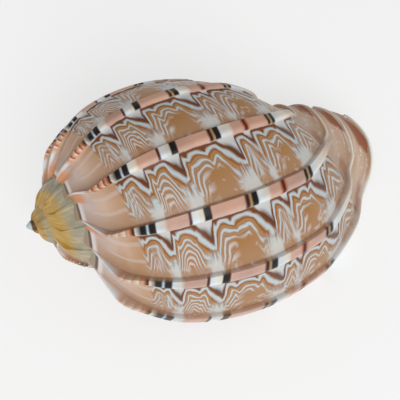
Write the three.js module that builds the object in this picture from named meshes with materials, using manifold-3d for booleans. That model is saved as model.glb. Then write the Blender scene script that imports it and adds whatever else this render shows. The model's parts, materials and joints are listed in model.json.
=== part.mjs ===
// A harp shell lying on its opening. Millimetres, +Z up, with the origin on the surface that it lies
// on, under the middle of its bounding box.
//
// The shell is one coiled piece. It grew along its lip, so every older stage is a smaller copy of the
// lip, turned back about the coiling axis. The shell's own frame has its origin at the apex of the
// spire, +X along the coiling axis towards the siphonal end, and the coil grows right-handed about +X.
// Places on it are given by a growth angle in degrees, 0 at the lip and negative in older shell, and
// by a level along the growing edge, from the suture over the shoulder and body to the siphonal end.

import * as THREE from 'three';
import { mergeVertices } from 'three/addons/utils/BufferGeometryUtils.js';
import Module from 'manifold-3d';

const wasm = await Module();
wasm.setup();

// How many times larger the shell grows in one full turn, and the growth angles of its stretches
const WHORL_GROWTH = 2.44;
const BODY_START = -360;
const SPIRE_START = -720;
const TIP_START = -1080;

// The ribs stand at equal steps of growth. The last one is the thickened lip, rounded at its edge.
const RIB_STEP = 29.7;
const LAST_RIB = -5;
const LIP_ROUNDING = 3;
const LIP_ROUNDING_DEPTH = 1.2;

// The growing edge at the lip's size: its distance from the coiling axis, its distance from the apex
// along the axis, how far it runs ahead round the axis in degrees, and how high a rib stands there.
// step is 1 where a rib rises slowly and drops behind its crest, and 0 where it is a raised band.
const EDGE = [
  { radius: 8.0, distance: 8.2, ahead: -8, rib: 1.1, step: 1 }, // under the suture
  { radius: 10.4, distance: 8.9, ahead: -6, rib: 1.1, step: 1 }, // suture
  { radius: 15.7, distance: 11.4, ahead: 3, rib: 1.7, step: 0.1 }, // shoulder
  { radius: 19.4, distance: 14.3, ahead: 2.4, rib: 1.0, step: 0 },
  { radius: 23.0, distance: 19.3, ahead: 1, rib: 0.8, step: 0 },
  { radius: 25.2, distance: 26.3, ahead: 0, rib: 0.8, step: 0 },
  { radius: 26.1, distance: 34.5, ahead: -0.4, rib: 0.8, step: 0 }, // widest part of the body
  { radius: 25.5, distance: 41.9, ahead: -1, rib: 0.8, step: 0 },
  { radius: 23.6, distance: 49.6, ahead: -2, rib: 0.8, step: 0 },
  { radius: 18.7, distance: 57.4, ahead: -7, rib: 1.2, step: 0 }, // knobs at the end of the body
  { radius: 14.6, distance: 61.9, ahead: -12, rib: 0.7, step: 0 }, // groove
  { radius: 12.4, distance: 66.2, ahead: -21, rib: 0.6, step: 0 }, // band of ridges round the siphonal end
  { radius: 11.8, distance: 71.8, ahead: -56, rib: 0.7, step: 0 },
  { radius: 10.2, distance: 76.4, ahead: -92, rib: 0.5, step: 0 }, // edge of the siphonal notch
];
const LEVELS = [0, 1, 1.35, 1.7, 2, 2.35, 2.75, 3.2, 3.7, 4.2, 4.6, 5.1, 5.7, 6.3, 6.9, 7.5, 8, 8.45, 8.8, 9.05,
  9.35, 9.7, 10.2, 10.8, 11.4, 12, 12.5, 13];
const LAST_LEVEL_OF_SPIRE = 4.6;

// A rib's older foot, older edge, younger edge and younger foot, as shares of the step between ribs
const RIB_BAND = { olderFoot: -0.14, olderTop: -0.1, youngerTop: 0.03, youngerFoot: 0.14 };
const STEP_FALL = 0.12;
const BODY_COLUMNS = [...Object.values(RIB_BAND), 0.38, 0.62];
const SPIRE_COLUMNS = [-0.14, -0.02, 0.14, 0.5];
const TIP_COLUMNS = [-0.02, 0.3];
const LIP_COLUMNS = [-3, -1.5, -0.5];

// The wall between the hollow and the coiling axis, as distances from the axis and along it: the
// glazed whorl inside the last one, then the columella down to the siphonal end
const INNER_WALL = [
  [10.8, 10.8], [11.1, 13.0], [11.1, 16.0], [10.5, 19.5], [9.0, 24.0], [7.4, 30.0], [6.1, 37.0],
  [5.1, 45.0], [4.3, 54.0], [3.5, 62.0], [2.9, 66.5], [2.1, 70.5], [1.0, 73.5],
];
const COLUMELLA = { start: 10.6, end: 62.5, blunt: 4, oldest: -150, narrows: 150, sides: 24, rows: 12 };

// The hollow is parted in two stretches. Near the lip it runs out through the siphonal notch.
const WALL = 1.5;
const LIP_WALL = 2.0;
const HOLLOW_LEVELS = [1.55, 2, 2.5, 3, 3.7, 4.5, 5.3, 6, 6.7, 7.4, 8, 8.5, 9, 9.5, 10, 10.7, 11.4, 12.1, 12.8];
const HOLLOW = { deepest: -480, parting: -290, mouth: 8, deepStep: 20, step: 14 };
const NOTCH = { level: 9, closedShare: 0.62, opens: -112, open: -60, reach: 24 };

// The apex is a small smooth nipple on a stem that fills the middle of the spire.
const APEX_OUTLINE = [[0, -0.3], [0.5, 0.1], [0.9, 0.8], [1.1, 2], [1.2, 12], [0, 12]];
const APEX_SIDES = 14;

// How the shell lies on its lip, the bulge of its older whorl and the end of its columella
const ROLL_ABOUT_AXIS = -162.64;
const DIP_OF_SIPHONAL_END = 14.07;

const COLOUR = 0xb8977f;

const radians = THREE.MathUtils.degToRad;
const mix = THREE.MathUtils.lerp;
const smooth = THREE.MathUtils.smoothstep;

function sizeAt(angle) {
  return WHORL_GROWTH ** (angle / 360);
}

// Reads one property of the growing edge at a level, on a smooth curve through its stations.
function readEdge(key, level) {
  const i = Math.min(Math.floor(level), EDGE.length - 2);
  const t = level - i;
  const here = EDGE[i][key];
  const next = EDGE[i + 1][key];
  const before = i > 0 ? EDGE[i - 1][key] : 2 * here - next;
  const after = i < EDGE.length - 2 ? EDGE[i + 2][key] : 2 * next - here;
  const bend = t * t * (3 - 2 * t);
  const leaving = ((next - before) / 2) * t * (1 - t) ** 2;
  const arriving = ((after - here) / 2) * t ** 2 * (1 - t);
  return mix(here, next, bend) + leaving - arriving;
}

// The growing edge at a level, with the direction out of the shell there in the plane of the axis
function edgeAt(level) {
  const low = Math.max(level - 0.01, 0);
  const high = Math.min(level + 0.01, EDGE.length - 1);
  const rise = readEdge('distance', high) - readEdge('distance', low);
  const spread = readEdge('radius', high) - readEdge('radius', low);
  const edge = { outward: new THREE.Vector2(rise, -spread).normalize() };
  for (const key of Object.keys(EDGE[0])) edge[key] = readEdge(key, level);
  return edge;
}

// A point of the shell's own frame from its growth angle and its place in the lip-sized section
function place(angle, radius, distance) {
  const size = sizeAt(angle);
  const across = radius * size;
  return new THREE.Vector3(distance * size, across * Math.cos(radians(angle)), across * Math.sin(radians(angle)));
}

// How much of a rib's height the surface has at a growth angle, from 0 to 1
function ribShare(growth, step) {
  if (growth > LAST_RIB) return 1;
  const ribs = (growth - LAST_RIB) / RIB_STEP;
  const offset = ribs - Math.round(ribs);
  const rising = smooth(offset, RIB_BAND.olderFoot, RIB_BAND.olderTop);
  const band = rising * (1 - smooth(offset, RIB_BAND.youngerTop, RIB_BAND.youngerFoot));
  const passed = ribs - Math.floor(ribs);
  const drop = Math.max(1 - smooth(passed, 0, STEP_FALL), (passed - STEP_FALL) / (1 - STEP_FALL));
  return mix(band, drop, step);
}

function outerPoint(growth, level) {
  const edge = edgeAt(level);
  const rounded = Math.max(growth + LIP_ROUNDING, 0) / LIP_ROUNDING;
  const sunk = LIP_ROUNDING_DEPTH * (1 - Math.sqrt(1 - rounded ** 2));
  const lift = edge.rib * ribShare(growth, edge.step) - sunk;
  return place(growth + edge.ahead, edge.radius + lift * edge.outward.x, edge.distance + lift * edge.outward.y);
}

// A solid from a list of points and a list of corner triples, turned so that its faces point out
function solidFrom(points, triangles) {
  let volume = 0;
  for (const [a, b, c] of triangles) volume += points[a].dot(points[b].clone().cross(points[c]));
  const facingOut = volume < 0 ? triangles.map(([a, b, c]) => [c, b, a]) : triangles;
  return new wasm.Manifold(new wasm.Mesh({
    numProp: 3,
    vertProperties: new Float32Array(points.flatMap((point) => point.toArray())),
    triVerts: new Uint32Array(facingOut.flat()),
  }));
}

function solidFromGeometry(geometry) {
  geometry.deleteAttribute('normal');
  geometry.deleteAttribute('uv');
  const merged = mergeVertices(geometry, 1e-4);
  const position = merged.getAttribute('position');
  const points = Array.from({ length: position.count }, (_, i) => new THREE.Vector3().fromBufferAttribute(position, i));
  const corners = [...merged.getIndex().array];
  const triangles = [];
  for (let k = 0; k < corners.length; k += 3) {
    const [a, b, c] = corners.slice(k, k + 3);
    if (a !== b && b !== c && c !== a) triangles.push([a, b, c]);
  }
  return solidFrom(points, triangles);
}

// The solid between a grid of points on the outside and the matching grid near the axis
function solidBetween(outer, inner) {
  const columns = outer.length;
  const rows = outer[0].length;
  const out = (i, j) => i * rows + j;
  const core = (i, j) => columns * rows + i * rows + j;
  const triangles = [];
  const face = (a, b, c, d) => triangles.push([a, b, c], [a, c, d]);
  for (let i = 0; i < columns - 1; i += 1) {
    for (let j = 0; j < rows - 1; j += 1) {
      face(out(i, j), out(i, j + 1), out(i + 1, j + 1), out(i + 1, j));
      face(core(i, j), core(i + 1, j), core(i + 1, j + 1), core(i, j + 1));
    }
    face(out(i, 0), out(i + 1, 0), core(i + 1, 0), core(i, 0));
    face(out(i, rows - 1), core(i, rows - 1), core(i + 1, rows - 1), out(i + 1, rows - 1));
  }
  const last = columns - 1;
  for (let j = 0; j < rows - 1; j += 1) {
    face(out(0, j), core(0, j), core(0, j + 1), out(0, j + 1));
    face(out(last, j), out(last, j + 1), core(last, j + 1), core(last, j));
  }
  return solidFrom([...outer.flat(), ...inner.flat()], triangles);
}

// A stretch of whorl, filled in to the axis. Near the siphonal end the filling rises towards the axis.
function filledStretch(growths, levels) {
  const towardsAxis = (x) => Math.min(x + 0.12 * Math.max(x - 40, 0), 56.8 + 0.2 * (x - 55));
  const outer = growths.map((growth) => levels.map((level) => outerPoint(growth, level)));
  const inner = outer.map((column) => column.map(({ x, y, z }) => (
    new THREE.Vector3(towardsAxis(x), 0.04 * y, 0.04 * z)
  )));
  return solidBetween(outer, inner);
}

function growthAngles(from, to, columns) {
  const angles = [from, to, ...LIP_COLUMNS];
  for (let rib = Math.floor((from - LAST_RIB) / RIB_STEP); rib <= 0; rib += 1) {
    for (const share of columns) angles.push(LAST_RIB + (rib + share) * RIB_STEP);
  }
  const inside = angles.filter((angle) => angle >= from && angle <= to).sort((a, b) => a - b);
  return inside.filter((angle, i) => i === 0 || angle - inside[i - 1] > 0.3);
}

function filledStretches(from, to, count, columns, levels) {
  return Array.from({ length: count }, (_, i) => {
    const angles = growthAngles(mix(from, to, i / count), mix(from, to, (i + 1) / count), columns);
    return filledStretch(angles, levels);
  });
}

function innerWallRadius(distance) {
  const above = INNER_WALL.findIndex(([, along]) => along >= distance);
  if (above < 0) return INNER_WALL.at(-1)[0];
  if (above === 0) return INNER_WALL[0][0];
  const [[radiusA, alongA], [radiusB, alongB]] = INNER_WALL.slice(above - 1, above + 1);
  return mix(radiusA, radiusB, (distance - alongA) / (alongB - alongA));
}

// The pillar about the coiling axis, all the way round. It is a little stout inside the opening,
// where the hollow trims it, and its start is buried in the older whorl.
function columella() {
  const { start, end, blunt, oldest, narrows, sides, rows } = COLUMELLA;
  const outline = Array.from({ length: rows + 1 }, (_, j) => new THREE.Vector2(1, mix(start, end, j / rows)));
  const closed = [new THREE.Vector2(0, start), ...outline, new THREE.Vector2(0, end)];
  const pillar = new THREE.LatheGeometry(closed, sides).rotateZ(-Math.PI / 2);
  const position = pillar.getAttribute('position');
  for (let i = 0; i < position.count; i += 1) {
    const [x, y, z] = [position.getX(i), position.getY(i), position.getZ(i)];
    const turned = THREE.MathUtils.radToDeg(Math.atan2(z, y));
    const angle = THREE.MathUtils.euclideanModulo(turned - oldest, 360) + oldest;
    const size = angle < 0 ? sizeAt(angle) : mix(1, sizeAt(oldest), smooth(angle, narrows, 360 + oldest));
    const spare = 0.3 * (1 - smooth(angle, -20, HOLLOW.mouth));
    const tip = Math.sqrt(1 - (Math.max(0, x - end + blunt) / (blunt + 0.3)) ** 2);
    const buried = mix(0.92, 1, smooth(x, start, start + 4));
    const radius = (size * innerWallRadius(x / size) + spare) * tip * buried;
    position.setXYZ(i, x, y * radius, z * radius);
  }
  return solidFromGeometry(pillar);
}

function apex() {
  const outline = APEX_OUTLINE.map(([radius, distance]) => new THREE.Vector2(radius, distance));
  return solidFromGeometry(new THREE.LatheGeometry(outline, APEX_SIDES).rotateZ(-Math.PI / 2));
}

// The hollow's outline in the plane of the axis at one angle
function hollowOutline(angle) {
  const open = smooth(angle, NOTCH.opens, NOTCH.open);
  const outside = HOLLOW_LEVELS.map((fullLevel) => {
    const beyond = Math.max(fullLevel - NOTCH.level, 0);
    const level = fullLevel - beyond * (1 - mix(NOTCH.closedShare, 1, open));
    const edge = edgeAt(level);
    const wall = mix(WALL, LIP_WALL, smooth(angle - edge.ahead, -20, -4));
    return [edge.radius - wall * edge.outward.x, edge.distance - wall * edge.outward.y];
  });
  const [outerRadius, outerEnd] = outside.at(-1);
  const [tipRadius, tipEnd] = INNER_WALL.at(-1);
  const reach = NOTCH.reach * open;
  outside.push([outerRadius, outerEnd + 0.5 + reach]);
  const inside = [...INNER_WALL, [tipRadius * mix(1, 0.4, open), tipEnd + 1 + reach]];
  return [...outside, ...inside.reverse()].map(([radius, distance]) => new THREE.Vector2(radius, distance));
}

function hollowStretch(from, to, step) {
  const steps = Math.ceil((to - from) / step);
  const angles = Array.from({ length: steps + 1 }, (_, i) => mix(from, to, i / steps));
  const outlines = angles.map(hollowOutline);
  const count = outlines[0].length;
  const points = outlines.flatMap((outline, i) => outline.map((point) => place(angles[i], point.x, point.y)));
  const triangles = [];
  for (let i = 0; i < steps; i += 1) {
    for (let j = 0; j < count; j += 1) {
      const [a, b] = [i * count + j, i * count + ((j + 1) % count)];
      triangles.push([a, b, b + count], [a, b + count, a + count]);
    }
  }
  for (const [a, b, c] of THREE.ShapeUtils.triangulateShape(outlines[0], [])) triangles.push([c, b, a]);
  for (const corners of THREE.ShapeUtils.triangulateShape(outlines[steps], [])) {
    triangles.push(corners.map((corner) => corner + steps * count));
  }
  return solidFrom(points, triangles);
}

function shellSolid() {
  const spireLevels = LEVELS.filter((level) => level <= LAST_LEVEL_OF_SPIRE);
  const filled = [
    ...filledStretches(BODY_START, 0, 3, BODY_COLUMNS, LEVELS),
    ...filledStretches(SPIRE_START, BODY_START, 3, SPIRE_COLUMNS, spireLevels),
    ...filledStretches(TIP_START, SPIRE_START, 2, TIP_COLUMNS, spireLevels),
    columella(),
    apex(),
  ].reduce((joined, piece) => joined.add(piece));
  const hollowed = filled
    .subtract(hollowStretch(HOLLOW.parting, HOLLOW.mouth, HOLLOW.step))
    .subtract(hollowStretch(HOLLOW.deepest, HOLLOW.parting, HOLLOW.deepStep));
  // The cuts can leave specks of no size, so only the shell itself is kept.
  return hollowed.decompose().sort((a, b) => b.volume() - a.volume())[0];
}

function geometryOf(solid) {
  const { vertProperties, triVerts } = solid.getMesh();
  const geometry = new THREE.BufferGeometry();
  geometry.setAttribute('position', new THREE.BufferAttribute(new Float32Array(vertProperties), 3));
  geometry.setIndex([...triVerts]);
  geometry.computeVertexNormals();
  return geometry;
}

const glossyShell = new THREE.MeshStandardMaterial({ color: COLOUR, roughness: 0.4, metalness: 0 });
const shell = new THREE.Mesh(geometryOf(shellSolid()), glossyShell);
shell.name = 'shell';
shell.rotation.x = radians(ROLL_ABOUT_AXIS);

const lying = new THREE.Group();
lying.rotation.y = radians(DIP_OF_SIPHONAL_END);
lying.add(shell);

const box = new THREE.Box3().setFromObject(lying, true);
const middle = box.getCenter(new THREE.Vector3());
lying.position.set(-middle.x, -middle.y, -box.min.z);

const group = new THREE.Group();
group.add(lying);

export default group;
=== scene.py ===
"""A harp shell lying on its opening, on a pale floor under soft light.

The shell's surface is described by its growth. Growth angles are in degrees about the coiling axis, 0
at the lip and negative in older shell, and levels run along the growing edge from the suture to the
siphonal end. The same two numbers, as rib steps and levels, place the markings.
"""
import json
import math

import bpy
import numpy as np
from mathutils import Matrix, Quaternion, Vector

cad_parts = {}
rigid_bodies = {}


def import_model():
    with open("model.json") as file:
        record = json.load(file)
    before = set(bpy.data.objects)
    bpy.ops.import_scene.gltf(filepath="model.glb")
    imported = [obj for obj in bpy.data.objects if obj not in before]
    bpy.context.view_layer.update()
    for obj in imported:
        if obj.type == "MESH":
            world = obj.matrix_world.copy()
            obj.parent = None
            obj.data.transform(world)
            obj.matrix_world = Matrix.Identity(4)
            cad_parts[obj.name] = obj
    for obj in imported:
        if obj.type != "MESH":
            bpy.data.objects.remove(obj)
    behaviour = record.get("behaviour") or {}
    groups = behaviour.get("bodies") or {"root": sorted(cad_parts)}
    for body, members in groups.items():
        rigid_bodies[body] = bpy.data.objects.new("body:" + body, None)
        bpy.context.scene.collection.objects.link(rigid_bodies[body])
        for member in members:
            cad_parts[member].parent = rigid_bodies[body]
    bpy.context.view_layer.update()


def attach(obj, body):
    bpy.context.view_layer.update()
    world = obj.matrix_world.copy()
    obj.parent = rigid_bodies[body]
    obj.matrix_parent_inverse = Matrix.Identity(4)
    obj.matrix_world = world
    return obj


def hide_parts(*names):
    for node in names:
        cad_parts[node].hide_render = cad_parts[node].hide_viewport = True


MM = 0.001

# Growth of the shell, as in the CAD source
WHORL_GROWTH = 2.44
BODY_START = -360
SPIRE_START = -720
TIP_START = -1080
RIB_STEP = 29.7
LAST_RIB = -5
LIP_ROUNDING = 3
LIP_ROUNDING_DEPTH = 1.2

# The growing edge at the lip's size, in mm: radius, distance from the apex, degrees ahead, rib height,
# and 1 where a rib drops behind its crest in a step or 0 where it is a raised band
EDGE = np.array([
    (8.0, 8.2, -8, 1.1, 1),
    (10.4, 8.9, -6, 1.1, 1),
    (15.7, 11.4, 3, 1.7, 0.1),
    (19.4, 14.3, 2.4, 1.0, 0),
    (23.0, 19.3, 1, 0.8, 0),
    (25.2, 26.3, 0, 0.8, 0),
    (26.1, 34.5, -0.4, 0.8, 0),
    (25.5, 41.9, -1, 0.8, 0),
    (23.6, 49.6, -2, 0.8, 0),
    (18.7, 57.4, -7, 1.2, 0),
    (14.6, 61.9, -12, 0.7, 0),
    (12.4, 66.2, -21, 0.6, 0),
    (11.8, 71.8, -56, 0.7, 0),
    (10.2, 76.4, -92, 0.5, 0),
])
LAST_LEVEL = len(EDGE) - 1
LAST_LEVEL_OF_SPIRE = 4.6

# A rib's cross-section, as shares of the step between ribs. Its edges are crisper than in the CAD source.
RIB_OLDER_EDGE = (-0.122, -0.106)
RIB_YOUNGER_EDGE = (0.02, 0.12)
RIB_REACH = 0.15
STEP_FALL = 0.1

# The folds of the spire as a share of the height in EDGE, and the growth angles between which they change
SPIRE_FOLDS = 0.6
FOLDS_CHANGE = (-430, -380)

# Only here, ribs narrow towards the shoulder and the siphonal end: level and share of the full width
RIB_WIDTH = (
    (1.0, 0.5), (1.9, 0.4), (2.05, 0.32), (2.5, 0.6), (3.0, 0.78), (3.5, 0.92), (4.2, 1.0), (8.6, 1.0),
    (9.4, 0.75), (10.2, 0.5), (13.0, 0.5),
)
RIB_SHARES = (-0.15, -0.13, -0.122, -0.114, -0.105, -0.09, -0.06, -0.02, 0.02, 0.05, 0.08, 0.11, 0.15,
              0.2, 0.28, 0.37, 0.46, 0.55, 0.64, 0.73, 0.8)
LIP_ANGLES = (-3, -2.4, -1.8, -1.3, -0.9, -0.5, -0.25, -0.1)

# The wall between the hollow and the coiling axis, in mm from the axis and along it
INNER_WALL = np.array([
    (10.8, 10.8), (11.1, 13.0), (11.1, 16.0), (10.5, 19.5), (9.0, 24.0), (7.4, 30.0), (6.1, 37.0),
    (5.1, 45.0), (4.3, 54.0), (3.5, 62.0), (2.9, 66.5), (2.1, 70.5), (1.0, 73.5),
])
COLUMELLA_START = 10.6
COLUMELLA_END = 62.5
COLUMELLA_BLUNT = 4
COLUMELLA_OLDEST = -150
COLUMELLA_NARROWS = 150
WALL = 1.5
LIP_WALL = 2.0
HOLLOW_DEEPEST = -480
HOLLOW_PARTING = -290
HOLLOW_MOUTH = 8
NOTCH_LEVEL = 9
NOTCH_CLOSED_SHARE = 0.62
NOTCH_OPENS = -112
NOTCH_OPEN = -60
NOTCH_REACH = 24
APEX_OUTLINE = np.array([
    (0, -0.3), (0.3, -0.17), (0.5, 0.1), (0.75, 0.42), (0.9, 0.8), (1.1, 2), (1.2, 12), (0, 12),
])
APEX_STEPS = -38.0

# The filling of a whorl ends this near the axis, as a share, and rises towards the siphonal end, in mm
CORE_SHARE = 0.04
FILLING_RISES_FROM = 40
FILLING_RISE = 0.12
FILLING_END = 56.8
FILLING_END_FROM = 55
FILLING_END_RISE = 0.2

# How the shell lies: turned about its axis, dipped towards the siphonal end, apex at this place in mm
ROLL_ABOUT_AXIS = -162.64
DIP_OF_SIPHONAL_END = 14.07
APEX_AT = (-30.95, 4.68, 17.91)

CREASE_ANGLE = 50

# Camera, in mm and degrees
CAMERA_AT = (-22.2, -47.1, 123.75)
CAMERA_AIM = (-3.23, -2.59, 16.11)
CAMERA_ROLL = 2.64
CAMERA_LENS = 63
SENSOR_WIDTH = 36

# Floor and light, in metres and watts
FLOOR_SIZE = 3.0
FLOOR_GREY = 0.4
FLOOR_GLOW = 0.58
STUDIO_STRENGTH = 0.5
FRONT_LIGHT_AT = (-0.08, -0.45, 0.42)
FRONT_LIGHT_AIM = (0, 0, 0.01)
FRONT_LIGHT_SIZE = 0.4
FRONT_LIGHT_WATTS = 1.9


def smooth(x, low, high):
    t = np.clip((x - low) / (high - low), 0, 1)
    return t * t * (3 - 2 * t)


def mix(a, b, t):
    return a + (b - a) * t


def size_at(angle):
    return WHORL_GROWTH ** (np.asarray(angle) / 360)


def read_edge(level):
    """All columns of EDGE at the given levels, on smooth curves through the stations."""
    level = np.asarray(level, float)
    i = np.clip(np.floor(level).astype(int), 0, LAST_LEVEL - 1)
    t = (level - i)[..., None]
    here, following = EDGE[i], EDGE[i + 1]
    before = np.where((i > 0)[..., None], EDGE[np.maximum(i - 1, 0)], 2 * here - following)
    beyond = EDGE[np.minimum(i + 2, LAST_LEVEL)]
    after = np.where((i < LAST_LEVEL - 1)[..., None], beyond, 2 * following - here)
    leaving = (following - before) / 2 * t * (1 - t) ** 2
    arriving = (after - here) / 2 * t**2 * (1 - t)
    return mix(here, following, t * t * (3 - 2 * t)) + leaving - arriving


def outward_at(level):
    """The direction out of the shell, as parts across and along the axis."""
    high = read_edge(np.minimum(level + 0.01, LAST_LEVEL))
    low = read_edge(np.maximum(level - 0.01, 0))
    across, along = high[..., 1] - low[..., 1], low[..., 0] - high[..., 0]
    length = np.hypot(across, along)
    return across / length, along / length


def place(angle, radius, distance):
    size = size_at(angle)
    turn = np.radians(angle)
    return np.stack([distance * size, radius * size * np.cos(turn), radius * size * np.sin(turn)], -1)


def rib_share(growth, level, step):
    ribs = (growth - LAST_RIB) / RIB_STEP
    offset = (ribs - np.round(ribs)) / np.interp(level, *np.array(RIB_WIDTH).T)
    band = smooth(offset, *RIB_OLDER_EDGE) * (1 - smooth(offset, *RIB_YOUNGER_EDGE))
    passed = ribs - np.floor(ribs)
    drop = np.maximum(1 - smooth(passed, 0, STEP_FALL), (passed - STEP_FALL) / (1 - STEP_FALL))
    return np.where(growth > LAST_RIB, 1.0, mix(band, drop, step))


def squeezed(growth, level):
    """Growth angles drawn together where a rib narrows, so that the mesh follows its edges."""
    ribs = (growth - LAST_RIB) / RIB_STEP
    offset = ribs - np.round(ribs)
    width = np.interp(level, *np.array(RIB_WIDTH).T)
    near = np.minimum(np.abs(offset), RIB_REACH) * width
    spread = (0.5 - RIB_REACH * width) / (0.5 - RIB_REACH)
    far = np.maximum(np.abs(offset) - RIB_REACH, 0) * spread
    moved = LAST_RIB + (np.round(ribs) + np.sign(offset) * (near + far)) * RIB_STEP
    return np.where(growth > LAST_RIB, growth, moved)


def outer_points(growths, levels):
    growth, level = np.meshgrid(growths, levels, indexing="ij")
    growth = squeezed(growth, level)
    edge = read_edge(level)
    across, along = outward_at(level)
    rounded = np.clip((growth + LIP_ROUNDING) / LIP_ROUNDING, 0, 1)
    sunk = LIP_ROUNDING_DEPTH * (1 - np.sqrt(1 - rounded**2))
    folds = mix(SPIRE_FOLDS, 1, smooth(growth, *FOLDS_CHANGE))
    lift = edge[..., 3] * folds * rib_share(growth, level, edge[..., 4]) - sunk
    points = place(growth + edge[..., 2], edge[..., 0] + lift * across, edge[..., 1] + lift * along)
    markings = np.stack([(growth - LAST_RIB) / RIB_STEP, level], -1)
    return points, markings


def mesh_object(name, points, triangles, markings, material):
    """An object from triangles, facing out, with its places for the markings as a UV map."""
    corners = points[triangles]
    volume = np.einsum("ij,ij->", corners[:, 0], np.cross(corners[:, 1], corners[:, 2]))
    if volume < 0:
        triangles = triangles[:, ::-1]
    mesh = bpy.data.meshes.new(name)
    mesh.from_pydata(points.tolist(), [], triangles.tolist())
    mesh.materials.append(material)
    layer = mesh.uv_layers.new(name="place")
    layer.data.foreach_set("uv", markings[triangles.ravel()].astype(np.float32).ravel())
    shape = bpy.data.objects.new(name, mesh)
    bpy.context.scene.collection.objects.link(shape)
    return shape


def filled_stretch(name, growths, levels, material):
    """A closed stretch of whorl, filled in to the axis."""
    outer, markings = outer_points(growths, levels)
    x = outer[..., 0]
    risen = x + FILLING_RISE * np.maximum(x - FILLING_RISES_FROM, 0)
    towards_axis = np.minimum(risen, FILLING_END + FILLING_END_RISE * (x - FILLING_END_FROM))
    inner = np.stack([towards_axis, CORE_SHARE * outer[..., 1], CORE_SHARE * outer[..., 2]], -1)
    columns, rows = outer.shape[:2]
    out = np.arange(columns * rows).reshape(columns, rows)
    core = out + columns * rows
    faces = []

    def add(a, b, c, d):
        corners = [np.ravel(corner) for corner in (a, b, c, d)]
        faces.append(np.stack([corners[0], corners[1], corners[2]], -1))
        faces.append(np.stack([corners[0], corners[2], corners[3]], -1))

    add(out[:-1, :-1], out[:-1, 1:], out[1:, 1:], out[1:, :-1])
    add(core[:-1, :-1], core[1:, :-1], core[1:, 1:], core[:-1, 1:])
    add(out[:-1, 0], out[1:, 0], core[1:, 0], core[:-1, 0])
    add(out[:-1, -1], core[:-1, -1], core[1:, -1], out[1:, -1])
    add(out[0, :-1], core[0, :-1], core[0, 1:], out[0, 1:])
    add(out[-1, :-1], out[-1, 1:], core[-1, 1:], core[-1, :-1])
    points = np.concatenate([outer.reshape(-1, 3), inner.reshape(-1, 3)])
    places = np.concatenate([markings.reshape(-1, 2)] * 2)
    return mesh_object(name, points, np.concatenate(faces), places, material)


def growth_angles(start, end, shares):
    ribs = np.arange(math.floor((start - LAST_RIB) / RIB_STEP), 1)
    angles = LAST_RIB + (ribs[:, None] + np.array(shares)) * RIB_STEP
    angles = np.unique(np.concatenate([angles.ravel(), [start, end], LIP_ANGLES]))
    angles = angles[(angles >= start) & (angles <= end)]
    return angles[np.concatenate([[True], np.diff(angles) > 0.05])]


def filled_stretches(name, start, end, count, shares, levels, material):
    ends = np.linspace(start, end, count + 1)
    return [
        filled_stretch(f"{name}_{i}", growth_angles(ends[i], ends[i + 1], shares), levels, material)
        for i in range(count)
    ]


def lathe(outline, sides, first_turn, reshape):
    """A closed solid of revolution about the coiling axis. reshape changes its (turn, radius, x)."""
    turns = first_turn + np.arange(sides) * 360 / sides
    turn, row = np.meshgrid(turns, np.arange(len(outline)), indexing="ij")
    radius, x = reshape(turn, outline[row, 0], outline[row, 1])
    points = np.stack([x, radius * np.cos(np.radians(turn)), radius * np.sin(np.radians(turn))], -1)
    middle = np.arange(1, len(outline) - 1)
    side = np.arange(sides)
    number = side[:, None] * len(middle) + np.arange(len(middle)) + 2
    following = np.roll(number, -1, axis=0)
    faces = [
        np.stack([number[:, :-1], following[:, :-1], following[:, 1:]], -1).reshape(-1, 3),
        np.stack([number[:, :-1], following[:, 1:], number[:, 1:]], -1).reshape(-1, 3),
        np.stack([np.zeros(sides, int), following[:, 0], number[:, 0]], -1),
        np.stack([np.ones(sides, int), number[:, -1], following[:, -1]], -1),
    ]
    ends = np.array([(outline[0, 1], 0, 0), (outline[-1, 1], 0, 0)])
    return np.concatenate([ends, points[:, middle].reshape(-1, 3)]), np.concatenate(faces)


def columella(material):
    rows = np.linspace(COLUMELLA_START, COLUMELLA_END, 60)
    outline = np.array([(0, COLUMELLA_START), *((1, x) for x in rows), (0, COLUMELLA_END)])

    def reshape(turn, radius, x):
        narrowed = smooth(turn, COLUMELLA_NARROWS, 360 + COLUMELLA_OLDEST)
        size = np.where(turn < 0, size_at(turn), mix(1, size_at(COLUMELLA_OLDEST), narrowed))
        wall = np.interp(x / size, INNER_WALL[:, 1], INNER_WALL[:, 0])
        spare = 0.3 * (1 - smooth(turn, -20, HOLLOW_MOUTH))
        blunt = np.maximum(0, x - COLUMELLA_END + COLUMELLA_BLUNT) / (COLUMELLA_BLUNT + 0.3)
        buried = mix(0.92, 1, smooth(x, COLUMELLA_START, COLUMELLA_START + 4))
        return radius * (size * wall + spare) * np.sqrt(1 - blunt**2) * buried, x

    points, triangles = lathe(outline, 120, COLUMELLA_OLDEST, reshape)
    places = np.stack([np.degrees(np.arctan2(points[:, 2], points[:, 1])) / RIB_STEP, -points[:, 0] / 10], -1)
    return mesh_object("columella", points, triangles, places, material)


def apex(material):
    points, triangles = lathe(APEX_OUTLINE, 40, 0, lambda turn, radius, x: (radius, x))
    places = np.stack([np.full(len(points), APEX_STEPS), points[:, 0]], -1)
    return mesh_object("apex", points, triangles, places, material)


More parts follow.
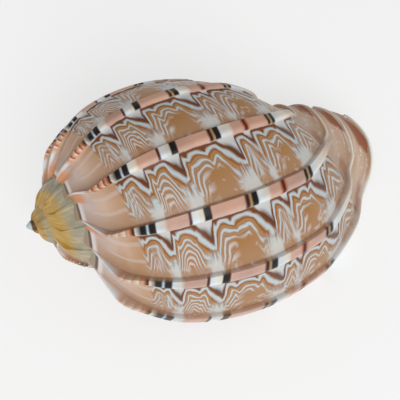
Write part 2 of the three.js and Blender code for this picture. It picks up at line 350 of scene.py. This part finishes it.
def hollow_outline(angle, levels):
    """The hollow's outline in the plane of the axis, as radius, distance and place for the markings."""
    opened = smooth(angle, NOTCH_OPENS, NOTCH_OPEN)
    beyond = np.maximum(levels - NOTCH_LEVEL, 0)
    edge_levels = levels - beyond * (1 - mix(NOTCH_CLOSED_SHARE, 1, opened))
    edge = read_edge(edge_levels)
    across, along = outward_at(edge_levels)
    wall = mix(WALL, LIP_WALL, smooth(angle - edge[:, 2], -20, -4))
    outside = np.stack([edge[:, 0] - wall * across, edge[:, 1] - wall * along, edge_levels], -1)
    reach = NOTCH_REACH * opened
    end = outside[-1] + (0, 0.5 + reach, 0)
    fine = np.linspace(0, len(INNER_WALL) - 1, 4 * len(INNER_WALL) - 3)
    number = np.arange(len(INNER_WALL))
    radius, distance = (np.interp(fine, number, INNER_WALL[:, k]) for k in (0, 1))
    inside = np.stack([radius, distance, -distance / 10], -1)
    tip = inside[-1] * (mix(1, 0.4, opened), 1, 1) + (0, 1 + reach, 0)
    return np.concatenate([outside, [end], [tip], inside[::-1]])


def ear_free_cap(count):
    """Triangles that close the hollow's outline by joining its two long sides like a ladder."""
    triangles = []
    low, high = 0, count - 1
    while high - low > 1:
        triangles.append((low, low + 1, high))
        if high - low > 2:
            triangles.append((low + 1, high - 1, high))
        low, high = low + 1, high - 1
    return np.array(triangles)


def hollow_stretch(name, start, end, steps, levels, material):
    angles = np.linspace(start, end, steps + 1)
    outlines = np.array([hollow_outline(angle, levels) for angle in angles])
    count = outlines.shape[1]
    points = place(angles[:, None], outlines[..., 0], outlines[..., 1])
    ribs = np.broadcast_to(((angles - LAST_RIB) / RIB_STEP)[:, None], outlines.shape[:2])
    places = np.stack([ribs, outlines[..., 2]], -1)
    number = np.arange(steps * count).reshape(steps, count)
    beside = np.roll(number, -1, axis=1)
    cap = ear_free_cap(count)
    faces = np.concatenate([
        np.stack([number, beside, beside + count], -1).reshape(-1, 3),
        np.stack([number, beside + count, number + count], -1).reshape(-1, 3),
        cap[:, ::-1],
        cap + steps * count,
    ])
    return mesh_object(name, points.reshape(-1, 3), faces, places.reshape(-1, 2), material)


def shell_mesh(outside, glaze):
    levels = np.unique(np.round(np.concatenate([
        np.linspace(0, 1.6, 17), np.linspace(1.6, 3.2, 25), np.linspace(3.2, 8, 49),
        np.linspace(8, LAST_LEVEL, 42),
    ]), 4))
    spire_levels = levels[levels <= LAST_LEVEL_OF_SPIRE]
    hollow_levels = np.unique(np.concatenate([np.linspace(1.55, 9, 60), np.linspace(9, 12.8, 24)]))
    added = [
        *filled_stretches("body", BODY_START, 0, 3, RIB_SHARES, levels, outside),
        *filled_stretches("spire", SPIRE_START, BODY_START, 3, RIB_SHARES[::2], spire_levels, outside),
        *filled_stretches("tip", TIP_START, SPIRE_START, 2, RIB_SHARES[::3], spire_levels[::2], outside),
        columella(glaze),
        apex(outside),
    ]
    removed = [
        hollow_stretch("hollow", HOLLOW_PARTING, HOLLOW_MOUTH, 70, hollow_levels, glaze),
        hollow_stretch("deep_hollow", HOLLOW_DEEPEST, HOLLOW_PARTING, 30, hollow_levels, glaze),
    ]
    base = added[0]
    steps = [("UNION", piece) for piece in added[1:]] + [("DIFFERENCE", piece) for piece in removed]
    for operation, piece in steps:
        boolean = base.modifiers.new(piece.name, "BOOLEAN")
        boolean.solver = "MANIFOLD"
        boolean.operation = operation
        boolean.object = piece
        boolean.material_mode = "TRANSFER"
    ready = base.evaluated_get(bpy.context.evaluated_depsgraph_get())
    mesh = bpy.data.meshes.new_from_object(ready)
    for piece in added + removed:
        bpy.data.meshes.remove(piece.data)
    return mesh


def lying_matrix():
    dip = Matrix.Rotation(math.radians(DIP_OF_SIPHONAL_END), 4, "Y")
    roll = Matrix.Rotation(math.radians(ROLL_ABOUT_AXIS), 4, "X")
    return Matrix.Scale(MM, 4) @ Matrix.Translation(APEX_AT) @ dip @ roll


def shell(outside, glaze):
    mesh = shell_mesh(outside, glaze)
    mesh.name = "harp_shell"
    mesh.transform(lying_matrix())
    mesh.polygons.foreach_set("use_smooth", np.ones(len(mesh.polygons), bool))
    mesh.set_sharp_from_angle(angle=math.radians(CREASE_ANGLE))
    piece = bpy.data.objects.new("harp_shell", mesh)
    bpy.context.scene.collection.objects.link(piece)
    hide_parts("shell")
    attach(piece, "root")
    return piece


class Number:
    """A number inside a shader tree. Arithmetic on it makes Math nodes."""

    def __init__(self, tree, socket):
        self.tree = tree
        self.socket = socket

    def math(self, operation, *others, clamp=False):
        node = self.tree.nodes.new("ShaderNodeMath")
        node.operation = operation
        node.use_clamp = clamp
        for slot, value in zip(node.inputs, (self, *others)):
            if isinstance(value, Number):
                self.tree.links.new(value.socket, slot)
            else:
                slot.default_value = value
        return Number(self.tree, node.outputs[0])

    def __add__(self, other):
        return self.math("ADD", other)

    def __sub__(self, other):
        return self.math("SUBTRACT", other)

    def __mul__(self, other):
        return self.math("MULTIPLY", other)

    def __truediv__(self, other):
        return self.math("DIVIDE", other)

    def least(self, other, rounding=0.0):
        return self.math("SMOOTH_MIN", other, rounding)

    def most(self, other, rounding=0.0):
        return self.math("SMOOTH_MAX", other, rounding)

    def rise(self, low, high):
        """0 below low, 1 above high, smooth between."""
        node = self.tree.nodes.new("ShaderNodeMapRange")
        node.interpolation_type = "SMOOTHSTEP"
        self.tree.links.new(self.socket, node.inputs["Value"])
        node.inputs["From Min"].default_value = low
        node.inputs["From Max"].default_value = high
        return Number(self.tree, node.outputs["Result"])

    def fall(self, low, high):
        return self.rise(low, high).math("MULTIPLY_ADD", -1.0, 1.0)

    def bump(self, start, full, end, gone):
        """Rises from start to full and falls from end to gone."""
        return self.rise(start, full) * self.fall(end, gone)


class Painter:
    """Short ways to make the nodes of one material."""

    def __init__(self, tree):
        self.tree = tree

    def node(self, kind, **settings):
        node = self.tree.nodes.new(kind)
        for key, value in settings.items():
            setattr(node, key, value)
        return node

    def link(self, source, target):
        self.tree.links.new(source.socket if isinstance(source, Number) else source, target)

    def places(self):
        """Rib steps and level at the shaded point."""
        uv = self.node("ShaderNodeUVMap", uv_map="place")
        split = self.node("ShaderNodeSeparateXYZ")
        self.link(uv.outputs["UV"], split.inputs[0])
        return Number(self.tree, split.outputs["X"]), Number(self.tree, split.outputs["Y"])

    def noise(self, scale, detail=2.0, seed=0.0, stretch=None):
        """Noise from -1 to 1, in the object's space or, with stretch, along (rib steps, level)."""
        node = self.node("ShaderNodeTexNoise", noise_dimensions="4D")
        if stretch is None:
            coordinates = self.node("ShaderNodeTexCoord")
            self.link(coordinates.outputs["Object"], node.inputs["Vector"])
        else:
            u, v = self.places()
            combine = self.node("ShaderNodeCombineXYZ")
            self.link(u * stretch[0], combine.inputs["X"])
            self.link(v * stretch[1], combine.inputs["Y"])
            self.link(combine.outputs[0], node.inputs["Vector"])
        node.inputs["W"].default_value = seed
        node.inputs["Scale"].default_value = scale
        node.inputs["Detail"].default_value = detail
        return Number(self.tree, node.outputs["Fac"]).math("MULTIPLY_ADD", 2.0, -1.0)

    def random(self, value, seed):
        """A random number from 0 to 1 for each whole value."""
        node = self.node("ShaderNodeTexWhiteNoise", noise_dimensions="2D")
        combine = self.node("ShaderNodeCombineXYZ")
        self.link(value, combine.inputs["X"])
        combine.inputs["Y"].default_value = seed
        self.link(combine.outputs[0], node.inputs["Vector"])
        return Number(self.tree, node.outputs["Value"])

    def curve(self, value, points, low, high, bottom=-1.0, top=1.0):
        """Reads a curve drawn through (value, height) points, straight between them."""
        node = self.node("ShaderNodeFloatCurve")
        curve = node.mapping.curves[0]
        while len(curve.points) < len(points):
            curve.points.new(0.5, 0.5)
        for point, (x, y) in zip(curve.points, sorted(points)):
            point.location = ((x - low) / (high - low), (y - bottom) / (top - bottom))
            point.handle_type = "VECTOR"
        node.mapping.update()
        self.link((value - low) * (1 / (high - low)), node.inputs["Value"])
        return Number(self.tree, node.outputs[0]) * (top - bottom) + bottom

    def ramp(self, value, stops, low, high):
        """A colour that changes with the value. stops are (value, colour)."""
        node = self.node("ShaderNodeValToRGB")
        ramp = node.color_ramp
        while len(ramp.elements) < len(stops):
            ramp.elements.new(0.5)
        for element, (x, colour) in zip(ramp.elements, stops):
            element.position = (x - low) / (high - low)
            element.color = linear(colour)
        self.link((value - low) * (1 / (high - low)), node.inputs["Fac"])
        return node.outputs["Color"]

    def mix(self, share, a, b, blend="MIX"):
        """Colour a where share is 0 and colour b, or their blend, where it is 1."""
        node = self.node("ShaderNodeMix", data_type="RGBA", blend_type=blend)
        if isinstance(share, Number):
            self.link(share, node.inputs["Factor"])
        else:
            node.inputs["Factor"].default_value = share
        for slot, colour in ((node.inputs[6], a), (node.inputs[7], b)):
            if isinstance(colour, tuple):
                slot.default_value = linear(colour)
            else:
                self.link(colour, slot)
        return node.outputs[2]


def linear(colour):
    """A screen colour of 0 to 255 as the light it stands for."""
    share = np.array(colour) / 255
    light = np.where(share > 0.04045, ((share + 0.055) / 1.055) ** 2.4, share / 12.92)
    return (*light.tolist(), 1.0)


def make_material(name):
    material = bpy.data.materials.new(name)
    material.use_nodes = True
    surface = material.node_tree.nodes["Principled BSDF"]
    return material, Painter(material.node_tree), surface


# Screen colours of the shell. The groove, dark suture and older rib-edge colours among them are painted shade
CREAM = (220, 202, 180)
WHITE = (220, 214, 206)
BLUISH = (190, 199, 201)
SALMON = (202, 154, 130)
BLACK = (22, 12, 10)
DARK_RED = (84, 30, 20)
ORANGE = (188, 104, 62)
RED_ORANGE = (176, 74, 34)
PEACH = (214, 146, 102)
BROWN = (146, 88, 30)
DEEP_BROWN = (116, 62, 20)
DARK_BROWN = (78, 36, 18)
FAINT_BROWN = (158, 108, 62)
OCHRE = (162, 112, 52)
TAN = (174, 130, 84)
PALE_TAN = (176, 140, 106)
MAUVE = (174, 138, 112)
LAVENDER = (206, 188, 180)
RUST = (146, 84, 56)
GREY_BLUE = (156, 152, 134)
OLIVE = (190, 154, 82)
PALE_GREY = (202, 202, 200)
MILKY = (206, 206, 202)
SIPHON_STREAK = (206, 194, 188)
SIPHON_SPOT = (216, 212, 208)
GROOVE_SHADE = (96, 66, 50)
SUTURE_SHADE = (84, 66, 60)
SUTURE_PALE = (222, 216, 214)
RIB_EDGE_SHADE = (104, 66, 52)
SPECKLE = (206, 198, 190)
SHOULDER_LINE = (214, 200, 194)
SPIRE_CREAM = (214, 192, 146)
SPIRE_BROWN = (138, 96, 40)
TIP_BROWN = (104, 74, 40)
POINT_BROWN = (92, 62, 34)
GLAZE_CREAM = (236, 216, 194)
GLAZE_TAN = (222, 192, 164)
GLAZE_WALL = (238, 222, 202)
CHESTNUT = (112, 56, 32)
DARK_CHESTNUT = (74, 34, 22)

# Tints that are multiplied over a rib's colours. Above 255 they brighten. All three paint light: a sheen in
# random clouds, a highlight along the younger side of each rib, and a sheen on the youngest ribs
RIB_SHEEN_TINT = (226, 232, 240)
RIB_HIGHLIGHT_TINT = (274, 286, 296)
YOUNG_RIB_SHEEN_TINT = (258, 272, 284)


def rib_colour(paint, v):
    """The bands along a rib from the suture to the siphonal end."""
    near_suture = [
        (1.0, WHITE), (1.8, WHITE), (2.05, PEACH), (2.18, CREAM), (2.22, RED_ORANGE), (2.25, RED_ORANGE),
        (2.34, PEACH), (2.48, CREAM), (2.52, RED_ORANGE), (2.56, RED_ORANGE), (2.64, PEACH), (2.76, CREAM),
        (2.79, RED_ORANGE), (2.83, RED_ORANGE), (2.9, PEACH), (3.03, DARK_RED), (3.08, DARK_RED),
        (3.12, CREAM), (3.3, BLACK), (3.44, BLACK), (3.5, BLUISH), (3.55, BLACK), (3.71, BLACK), (3.75, WHITE),
        (3.95, CREAM), (4.05, SALMON), (4.55, SALMON), (4.57, DARK_RED), (4.62, DARK_RED), (4.65, WHITE),
    ]
    near_siphon = [
        (4.9, CREAM), (4.92, BLACK), (5.08, BLACK), (5.11, SALMON), (5.86, SALMON), (5.88, DARK_RED),
        (5.96, BLACK), (5.98, TAN), (6.02, TAN),
        (6.04, BLACK), (6.18, BLACK), (6.21, WHITE), (6.5, CREAM), (6.6, SALMON), (6.88, SALMON),
        (6.94, ORANGE), (6.98, DARK_RED), (7.04, DARK_RED), (7.08, ORANGE), (7.15, SALMON), (7.7, SALMON),
        (7.74, BLACK), (7.8, BLACK), (7.83, TAN), (7.88, TAN), (7.9, BLACK), (7.98, BLACK), (8.03, WHITE),
        (8.6, CREAM), (9.0, (214, 184, 160)), (10.5, CREAM),
    ]
    first = paint.ramp(v, near_suture, 1.0, 5.0)
    second = paint.ramp(v, near_siphon, 4.5, 11.0)
    return paint.mix(v.rise(4.77, 4.83), first, second)


# Where the wavy lines arch up towards the rib (above 0) and run down in a V (below 0), by level
ARCHES = [
    (2.9, 0.9), (3.14, 0.0), (3.42, 1.5), (3.7, 0.0), (3.95, -0.75), (4.04, 0.0), (4.3, 2.4), (4.62, 0.0),
    (4.93, -0.8), (5.02, 0.0), (5.25, 1.3), (5.6, 1.6), (5.98, 0.0), (6.4, -0.95), (6.5, 0.0), (6.68, 0.9),
    (6.84, 0.0), (6.99, -0.5), (7.07, 0.0), (7.28, 1.1), (7.6, 1.5), (7.9, 0.0), (8.3, -0.95), (8.42, 0.0),
    (8.7, 0.9), (9.05, 0.0), (9.3, -0.8),
]
# Where the ground under the second line is plain, by level
PLAIN = [
    (2.9, 1.0), (3.05, 0.0), (5.25, 0.0), (5.45, 1.0), (5.85, 1.0), (6.0, 0.0), (7.3, 0.0), (7.45, 1.0),
    (7.8, 1.0), (7.95, 0.0), (9.3, 0.0),
]
LINE_COUNT = 4.7
V_DEPTH = 1.9
FAINT_LINES = (1.06, 1.68, 2.24, 2.76, 3.26)


def line_stops():
    """A broad brown-edged pale line at 0, and thinner, fainter ones beyond it. A ramp holds 32 stops."""
    stops = [
        (0.02, DEEP_BROWN), (0.13, DEEP_BROWN), (0.33, BLUISH), (0.51, BLUISH), (0.7, BROWN), (0.74, BROWN),
        (0.93, TAN), (0.98, TAN),
    ]
    for k, start in enumerate(FAINT_LINES):
        pale = tuple(mix(np.array(BLUISH), np.array(LAVENDER), 0.2 * k))
        stops += [(start, FAINT_BROWN), (start + 0.16, pale)]
        stops += [(start + 0.26, pale), (start + 0.4, FAINT_BROWN)]
        if start != FAINT_LINES[-1]:
            stops.append((start + 0.47, PALE_TAN))
    return stops


def wavy_lines(paint, u, v, down, wave, fine):
    """The colour of the lines between two ribs, and how much they show. down counts lines from the rib."""
    chance = paint.random(u.math("FLOOR"), 3.0)
    level = v + wave * 0.07 + (chance - 0.5) * 0.12
    arch = paint.curve(level, ARCHES, 2.9, 9.3, bottom=-2.0, top=3.0)
    scallops = (v * 7.0 + wave * 1.6 + chance * 6.0).math("SINE").math("ABSOLUTE") * 0.5 - 0.35
    ripple = (v * 17.0 + down * 1.5 + wave * 2.0).math("SINE") * down.rise(0.7, 1.5) * 0.16
    height = down + scallops * down.rise(0.0, 0.5) + ripple + fine * 0.1
    nested = height.least(arch + down * 0.45 + fine * 0.1, 0.35)
    below = height - V_DEPTH
    field = nested.most(below, 0.2)
    inside = paint.mix(field.rise(-0.6, -0.05) * down.rise(0.1, 0.9), PALE_GREY, DARK_BROWN)
    colour = paint.mix(field.fall(-0.15, 0.02), paint.ramp(field, line_stops(), 0.0, 4.0), inside)

    streaks = paint.noise(1.0, detail=1.0, seed=5.0, stretch=(1.0, 11.0))
    column = paint.mix(streaks.bump(-0.15, 0.1, 0.2, 0.45) * 0.8, BLUISH, BROWN)
    colour = paint.mix((arch + fine * 0.5).fall(-0.4, 0.1) * (down + streaks).rise(2.2, 3.2), colour, column)
    streaky = v.bump(3.15, 3.3, 3.6, 3.75).most(v.bump(6.6, 6.7, 6.95, 7.1)) * down.rise(0.8, 1.6)
    pale_streaks = paint.mix(streaks.rise(0.0, 0.2), MAUVE, BLUISH)
    colour = paint.mix(streaky * streaks.bump(-0.3, -0.1, 0.25, 0.45) * 0.7, colour, pale_streaks)

    plain = paint.curve(level, PLAIN, 2.9, 9.3) * (down + wave * 0.5).rise(1.7, 2.3)
    low = (down + wave * 0.8).rise(3.5, 4.4) * 0.8
    shown = v.bump(3.0, 3.2, 9.0, 9.4) * (plain.most(low)).math("MULTIPLY_ADD", -1.0, 1.0)
    reach = down + streaks * 0.9 + wave * 0.6
    in_the_v = (arch + wave * 0.9 + fine * 0.5).fall(-0.5, 0.3)
    foot = in_the_v * reach.rise(3.1, 3.9) * v.bump(3.5, 3.7, 9.0, 9.3)
    return colour, shown, foot


def ground_colour(paint, v, down):
    by_level = paint.ramp(v, [
        (0.0, GREY_BLUE), (0.94, GREY_BLUE), (1.06, LAVENDER), (1.6, LAVENDER), (2.2, (210, 180, 158)),
        (3.1, (188, 148, 114)), (3.8, TAN), (4.05, MAUVE), (4.5, MAUVE), (4.9, TAN), (5.4, OCHRE),
        (6.1, (170, 126, 80)), (6.7, TAN), (7.4, OCHRE), (8.0, TAN), (9.0, (194, 166, 142)),
        (10.5, (202, 176, 154)), (13.0, (180, 146, 120)),
    ], 0.0, 13.0)
    ground = paint.mix(down.rise(1.5, 4.6) * 0.6, by_level, MAUVE)
    clouded = paint.mix(paint.noise(160, detail=3.0, seed=4.0).rise(-0.1, 0.5) * 0.45, ground, OCHRE)
    faint = down.bump(0.5, 0.8, 1.0, 1.3).most(down.bump(2.6, 2.9, 3.0, 3.3)) * v.bump(1.5, 1.9, 3.1, 3.4)
    speckles = paint.noise(520, detail=2.0, seed=17.0).bump(0.12, 0.3, 0.6, 0.9) * v.bump(3.1, 3.6, 8.8, 9.4)
    speckled = paint.mix(speckles * down.rise(1.6, 3.0) * 0.6, clouded, SPECKLE)
    return paint.mix(faint * 0.4, speckled, SHOULDER_LINE)


def siphonal_marks(paint, passed, v, wave, colour):
    """Pale streaks and rust-brown patches on the band round the siphonal end, and painted shade in a groove.
    """
    band = v.rise(9.5, 9.9)
    streaks = paint.noise(1.0, detail=2.0, seed=12.0, stretch=(8.0, 0.9))
    colour = paint.mix(streaks.rise(0.0, 0.3) * band * 0.75, colour, SIPHON_STREAK)
    reach = v + wave * 0.3
    patch = reach.bump(11.45, 11.6, 12.3, 12.7) * (passed + wave * 0.15).bump(0.3, 0.5, 0.88, 0.93)
    patch = patch.most(reach.bump(9.4, 9.6, 10.0, 10.4) * passed.bump(0.55, 0.7, 0.88, 0.93) * 0.6)
    colour = paint.mix(patch * 0.9, colour, RUST)
    spots = paint.noise(1.0, detail=2.0, seed=14.0, stretch=(9.0, 6.0)).bump(0.2, 0.3, 0.5, 0.7)
    colour = paint.mix(spots * v.bump(10.6, 10.9, 11.5, 11.7) * 0.8, colour, SIPHON_SPOT)
    # Painted shade: a dark line in the groove between the body and the siphonal band
    groove_shade = (v + wave * 0.15).bump(9.26, 9.33, 9.36, 9.44) * (passed + wave * 0.2).bump(0.5, 0.8, 0.86, 0.92)
    return paint.mix(groove_shade * 0.7, colour, GROOVE_SHADE)


def spire_colour(paint, u, v):
    """Olive-yellow folds with pale streaks, grey-blue near the next whorl, and a dark tip."""
    mottle = paint.noise(330, detail=2.0, seed=6.0)
    folds = paint.mix((v + mottle * 0.6).rise(2.2, 3.6), OLIVE, GREY_BLUE)
    streaks = paint.noise(1.0, detail=2.0, seed=9.0, stretch=(5.0, 0.7))
    folds = paint.mix(streaks.rise(-0.1, 0.5) * 0.6, folds, SPIRE_CREAM)
    folds = paint.mix(streaks.fall(-0.5, -0.1) * 0.35, folds, SPIRE_BROWN)
    tip = paint.mix(mottle.rise(-0.3, 0.3), TIP_BROWN, OLIVE)
    old = paint.mix(u.fall(-31.0, -24.0), folds, tip)
    point = paint.mix(v.rise(0.35, 0.6), BLUISH, POINT_BROWN)
    return paint.mix(u.fall(-37.6, -37.2), old, point)


def markings_group():
    """A node group with the colour of the shell's outside."""
    tree = bpy.data.node_groups.new("shell_markings", "ShaderNodeTree")
    tree.interface.new_socket("Colour", in_out="OUTPUT", socket_type="NodeSocketColor")
    paint = Painter(tree)
    u, v = paint.places()
    wave = paint.noise(260, detail=1.5, seed=1.0)
    fine = paint.noise(900, detail=2.0, seed=2.0)
    passed = u.math("FRACT")
    offset = u - (u + 0.5).math("FLOOR")
    down = (passed - 0.09) * (LINE_COUNT / 0.79)

    colour = ground_colour(paint, v, down)
    lines, shown, foot = wavy_lines(paint, u, v, down, wave, fine)
    colour = paint.mix(shown, colour, lines)
    colour = paint.mix(foot * 0.85, colour, MILKY)
    colour = siphonal_marks(paint, passed, v, wave, colour)

    width = paint.curve(v, RIB_WIDTH, 1.0, 13.0, bottom=0.0, top=1.0)
    across = offset / width
    band = across.bump(-0.125, -0.1, 0.06, 0.09) * v.rise(1.0, 1.3)
    ribs = rib_colour(paint, v + wave * 0.03 + offset * 0.35)
    # Painted sheen: a pale bluish tint multiplied over the ribs in random clouds
    clouds = paint.noise(220, detail=2.0, seed=13.0)
    ribs = paint.mix(clouds.rise(-0.4, 0.4), ribs, RIB_SHEEN_TINT, "MULTIPLY")
    # Painted highlight: the younger side of each rib is brightened
    ribs = paint.mix(across.rise(-0.03, 0.06), ribs, RIB_HIGHLIGHT_TINT, "MULTIPLY")
    # Painted sheen: the youngest ribs, next to the lip, are brightened and made bluer
    ribs = paint.mix(u.rise(-3.5, -0.5), ribs, YOUNG_RIB_SHEEN_TINT, "MULTIPLY")
    ribs = paint.mix(u.rise(-2.7, -2.3) * v.bump(2.1, 2.25, 2.8, 2.95) * 0.5, ribs, CREAM)
    lip = u.rise(-0.03, 0.01) * v.rise(1.0, 1.3)
    colour = paint.mix(band.most(lip), colour, ribs)
    colour = paint.mix(u.rise(0.08, 0.15) * 0.6, colour, CREAM)
    # Painted shade: a thin brown line in the step along each rib's older edge
    older_edge_shade = across.bump(-0.145, -0.125, -0.115, -0.1) * v.bump(1.6, 2.2, 9.5, 10.5)
    colour = paint.mix(older_edge_shade * 0.3, colour, RIB_EDGE_SHADE)

    patch = passed.bump(0.0, 0.03, 0.3, 0.42) * v.bump(0.8, 0.95, 1.3, 1.7)
    colour = paint.mix(patch * 0.85, colour, PEACH)
    rim = passed.bump(0.3, 0.42, 0.9, 0.98)
    colour = paint.mix(v.bump(1.08, 1.14, 1.2, 1.34) * rim * 0.9, colour, SUTURE_PALE)
    # Painted shadow: a dark line in the slit at the suture, beside the pale rim
    colour = paint.mix(v.bump(0.9, 1.0, 1.06, 1.12) * rim * 0.85, colour, SUTURE_SHADE)
    colour = paint.mix(u.fall(-12.6, -12.2), colour, spire_colour(paint, u, v))
    result = paint.node("NodeGroupOutput")
    paint.link(colour, result.inputs[0])
    return tree


def growth_lines_group():
    """A node group with the fine raised lines that run along the growing edge."""
    tree = bpy.data.node_groups.new("growth_lines", "ShaderNodeTree")
    tree.interface.new_socket("Normal", in_out="OUTPUT", socket_type="NodeSocketVector")
    paint = Painter(tree)
    bump = paint.node("ShaderNodeBump")
    bump.inputs["Strength"].default_value = 0.14
    bump.inputs["Distance"].default_value = 0.0004
    paint.link(paint.noise(1.0, detail=3.0, seed=7.0, stretch=(70.0, 1.6)), bump.inputs["Height"])
    result = paint.node("NodeGroupOutput")
    paint.link(bump.outputs["Normal"], result.inputs[0])
    return tree


def outside_material(markings, growth_lines):
    material, paint, surface = make_material("shell_outside")
    paint.link(paint.node("ShaderNodeGroup", node_tree=markings).outputs[0], surface.inputs["Base Color"])
    paint.link(paint.node("ShaderNodeGroup", node_tree=growth_lines).outputs[0], surface.inputs["Normal"])
    surface.inputs["Roughness"].default_value = 0.36
    surface.inputs["Specular IOR Level"].default_value = 0.2
    surface.inputs["Coat Weight"].default_value = 0.08
    surface.inputs["Coat Roughness"].default_value = 0.15
    return material


def glaze_material(markings, growth_lines):
    """The glossy inside: cream, with the outside's markings faintly through it, and chestnut blotches."""
    material, paint, surface = make_material("shell_glaze")
    _, v = paint.places()
    through = paint.node("ShaderNodeGroup", node_tree=markings).outputs[0]
    wall = paint.mix(v.rise(11.5, 12.5).math("MULTIPLY_ADD", -0.25, 0.25), GLAZE_WALL, through)
    clouds = paint.noise(240, detail=3.0, seed=15.0).rise(-0.4, 0.5)
    cream = paint.mix(clouds, GLAZE_CREAM, GLAZE_TAN)
    blotch = (paint.noise(75, detail=3.0, seed=8.0) + v * 0.02).rise(-0.12, 0.02)
    chestnut = paint.mix(paint.noise(420, detail=2.0, seed=16.0).rise(-0.5, 0.5), CHESTNUT, DARK_CHESTNUT)
    pillar = paint.mix(blotch * 0.92, cream, chestnut)
    paint.link(paint.mix(v.rise(-0.4, 0.2), pillar, wall), surface.inputs["Base Color"])
    paint.link(paint.node("ShaderNodeGroup", node_tree=growth_lines).outputs[0], surface.inputs["Normal"])
    surface.inputs["Roughness"].default_value = 0.18
    surface.inputs["Coat Weight"].default_value = 0.4
    return material


def floor():
    mesh = bpy.data.meshes.new("floor")
    half = FLOOR_SIZE / 2
    corners = [(-half, -half, 0), (half, -half, 0), (half, half, 0), (-half, half, 0)]
    mesh.from_pydata(corners, [], [(0, 1, 2, 3)])
    ground = bpy.data.objects.new("floor", mesh)
    bpy.context.scene.collection.objects.link(ground)
    material, _, surface = make_material("floor_white")
    surface.inputs["Base Color"].default_value = (FLOOR_GREY, FLOOR_GREY, FLOOR_GREY, 1)
    surface.inputs["Roughness"].default_value = 1.0
    surface.inputs["Specular IOR Level"].default_value = 0.0
    surface.inputs["Emission Color"].default_value = (1, 1, 1, 1)
    surface.inputs["Emission Strength"].default_value = FLOOR_GLOW
    mesh.materials.append(material)


def area_light(name, at, aim, size, watts):
    lamp = bpy.data.lights.new(name, "AREA")
    lamp.shape = "DISK"
    lamp.size = size
    lamp.energy = watts
    light = bpy.data.objects.new(name, lamp)
    light.location = at
    light.rotation_mode = "QUATERNION"
    light.rotation_quaternion = (Vector(aim) - Vector(at)).to_track_quat("-Z", "Y")
    bpy.context.scene.collection.objects.link(light)


def lights():
    world = bpy.data.worlds.new("studio")
    world.use_nodes = True
    world.node_tree.nodes["Background"].inputs["Color"].default_value = (1, 1, 1, 1)
    world.node_tree.nodes["Background"].inputs["Strength"].default_value = STUDIO_STRENGTH
    bpy.context.scene.world = world
    area_light("front", FRONT_LIGHT_AT, FRONT_LIGHT_AIM, FRONT_LIGHT_SIZE, FRONT_LIGHT_WATTS)


def camera():
    data = bpy.data.cameras.new("camera")
    data.lens = CAMERA_LENS
    data.sensor_width = SENSOR_WIDTH
    view = bpy.data.objects.new("camera", data)
    at, aim = Vector(CAMERA_AT) * MM, Vector(CAMERA_AIM) * MM
    view.location = at
    view.rotation_mode = "QUATERNION"
    turned = (aim - at).to_track_quat("-Z", "Y")
    view.rotation_quaternion = turned @ Quaternion((0, 0, 1), math.radians(-CAMERA_ROLL))
    data.clip_start = 0.005
    bpy.context.scene.collection.objects.link(view)
    bpy.context.scene.camera = view


def main():
    for old in list(bpy.data.objects):
        bpy.data.objects.remove(old)
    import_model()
    bpy.context.scene.view_settings.view_transform = "Standard"
    camera()
    lights()
    floor()
    markings, growth_lines = markings_group(), growth_lines_group()
    shell(outside_material(markings, growth_lines), glaze_material(markings, growth_lines))


main()
